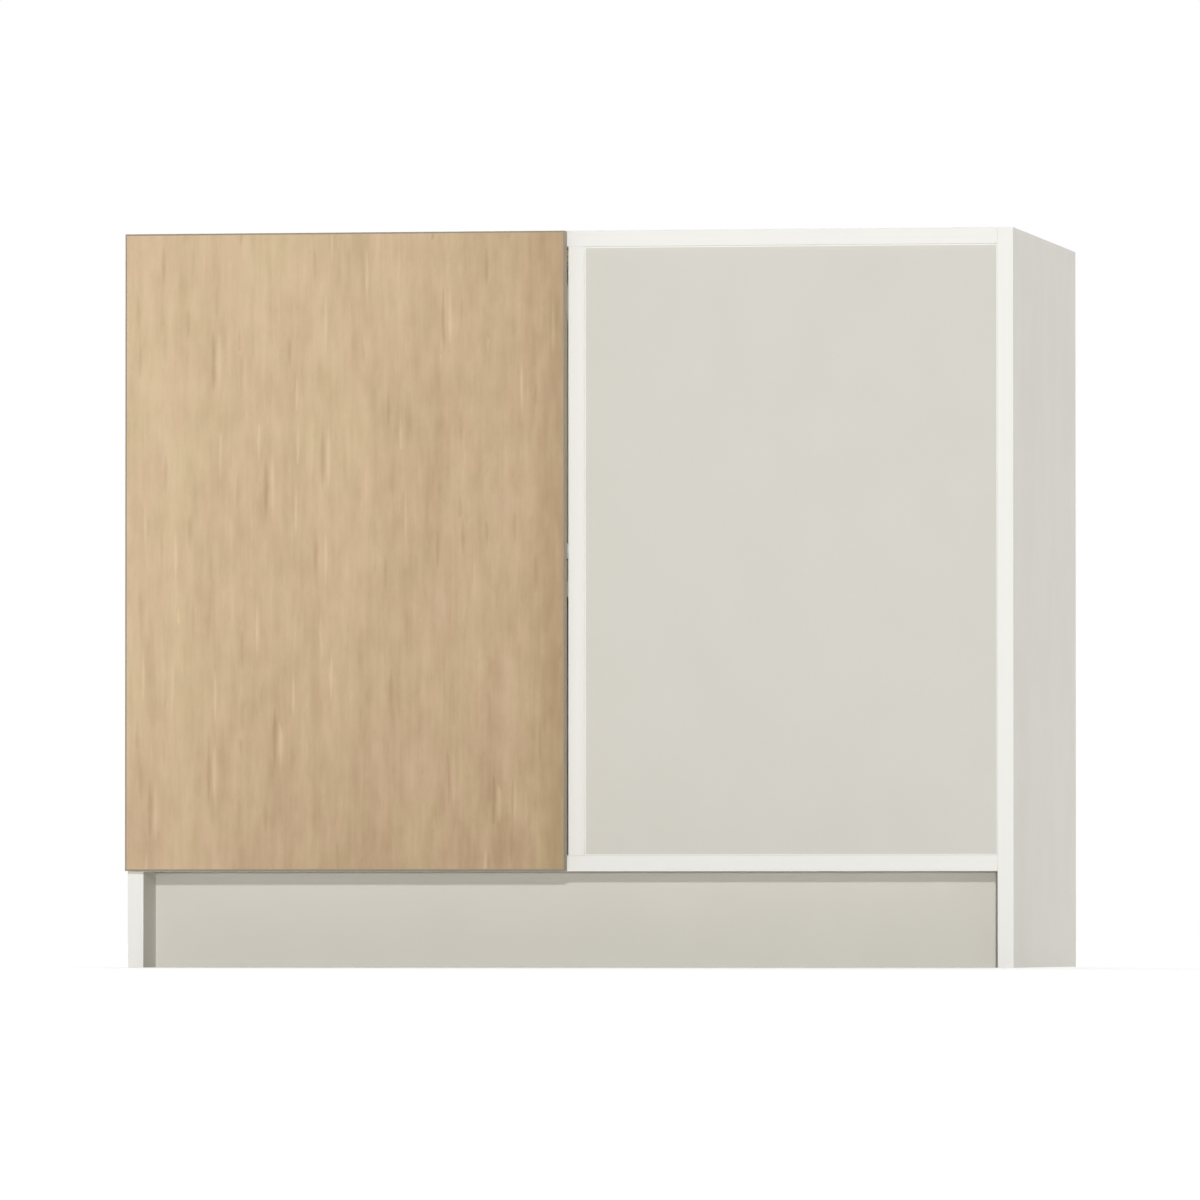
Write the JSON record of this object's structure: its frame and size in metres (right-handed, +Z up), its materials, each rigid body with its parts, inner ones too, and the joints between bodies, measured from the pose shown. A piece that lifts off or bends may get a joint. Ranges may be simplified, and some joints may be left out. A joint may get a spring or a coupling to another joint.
{
  "type": "blind corner base cabinet",
  "caption": "Frameless kitchen base cabinet with one hinged door beside a fixed blind panel, open top, recessed toe kick and adjustable shelf, for a corner run.",
  "frame": {"origin": "on the floor, under the middle of the cabinet's box", "axes": "+X along the front to the right, +Y from the door towards the wall, +Z up"},
  "size_m": [1.0668, 0.6096, 0.8763],
  "materials": {
    "melamine": "warm light grey melamine",
    "back_board": "faced fibreboard",
    "white_band": "satin off-white",
    "oak_laminate": "light oak, vertical grain",
    "door_band": "satin taupe",
    "beech": "plain",
    "zinc": "zinc plated",
    "nickel": "nickel plated",
    "grey_plastic": "moulded",
    "magnet": "plain",
    "clear_rubber": "soft"
  },
  "bodies": {
    "door": {"door_panel": "oak_laminate", "door_edge_band": "door_band", "hinge_cups": "nickel", "hinge_cup_screws": "nickel", "hinge_cup_pins": "nickel", "door_bumpers": "clear_rubber", "latch_strike": "nickel", "strike_screw": "zinc"},
    "inner_links": {"hinge_inner_links": "nickel"},
    "outer_links": {"hinge_outer_links": "nickel"},
    "latch": {"latch_plunger": "grey_plastic", "latch_magnet": "magnet"},
    "carcass": {"left_side": "melamine", "right_side": "melamine", "bottom_deck": "melamine", "front_stretcher": "melamine", "rear_stretcher": "melamine", "centre_stile": "melamine", "blind_panel": "melamine", "upper_hang_rail": "melamine", "lower_hang_rail": "melamine", "toe_kick": "melamine", "rear_base_rail": "melamine", "base_joist": "melamine", "shelf": "melamine", "back_panel": "back_board", "left_side_band": "white_band", "right_side_band": "white_band", "deck_band": "white_band", "stretcher_band": "white_band", "stile_band": "white_band", "blind_panel_band": "white_band", "shelf_band": "white_band", "wood_dowels": "beech", "cam_locks": "zinc", "cam_bolts": "zinc", "angle_brackets": "zinc", "bracket_screws": "zinc", "latch_screws": "zinc", "hinge_plates": "nickel", "hinge_arms": "nickel", "hinge_plate_screws": "nickel", "hinge_adjusters": "nickel", "hinge_arm_pins": "nickel", "shelf_pins": "nickel", "latch_housing": "grey_plastic"}
  },
  "joints": [
    {"name": "door_swing", "type": "hinge", "parent": "inner_links", "child": "door", "pos_m": [-0.52106, -0.29078, 0.43815], "axis": [0, 0, -1], "range_deg": [0, 135.66]},
    {"name": "inner_link_swing", "type": "hinge", "parent": "carcass", "child": "inner_links", "pos_m": [-0.4974, -0.27288, 0.43815], "axis": [0, 0, 1], "range_deg": [0, 30.68]},
    {"name": "outer_link_swing", "type": "hinge", "parent": "carcass", "child": "outer_links", "pos_m": [-0.4974, -0.29163, 0.43815], "axis": [0, 0, 1], "range_deg": [0, 64.91]},
    {"name": "latch_slide", "type": "slide", "parent": "carcass", "child": "latch", "axis": [0, -1, 0], "range_m": [0, 0.02002]}
  ],
  "couplings": [
    {"joint": "inner_link_swing", "follows": "door_swing", "ratio": 0.22601},
    {"joint": "outer_link_swing", "follows": "door_swing", "ratio": 0.47833},
    {"joint": "latch_slide", "follows": "door_swing", "m_per_rad": 0.008447}
  ]
}
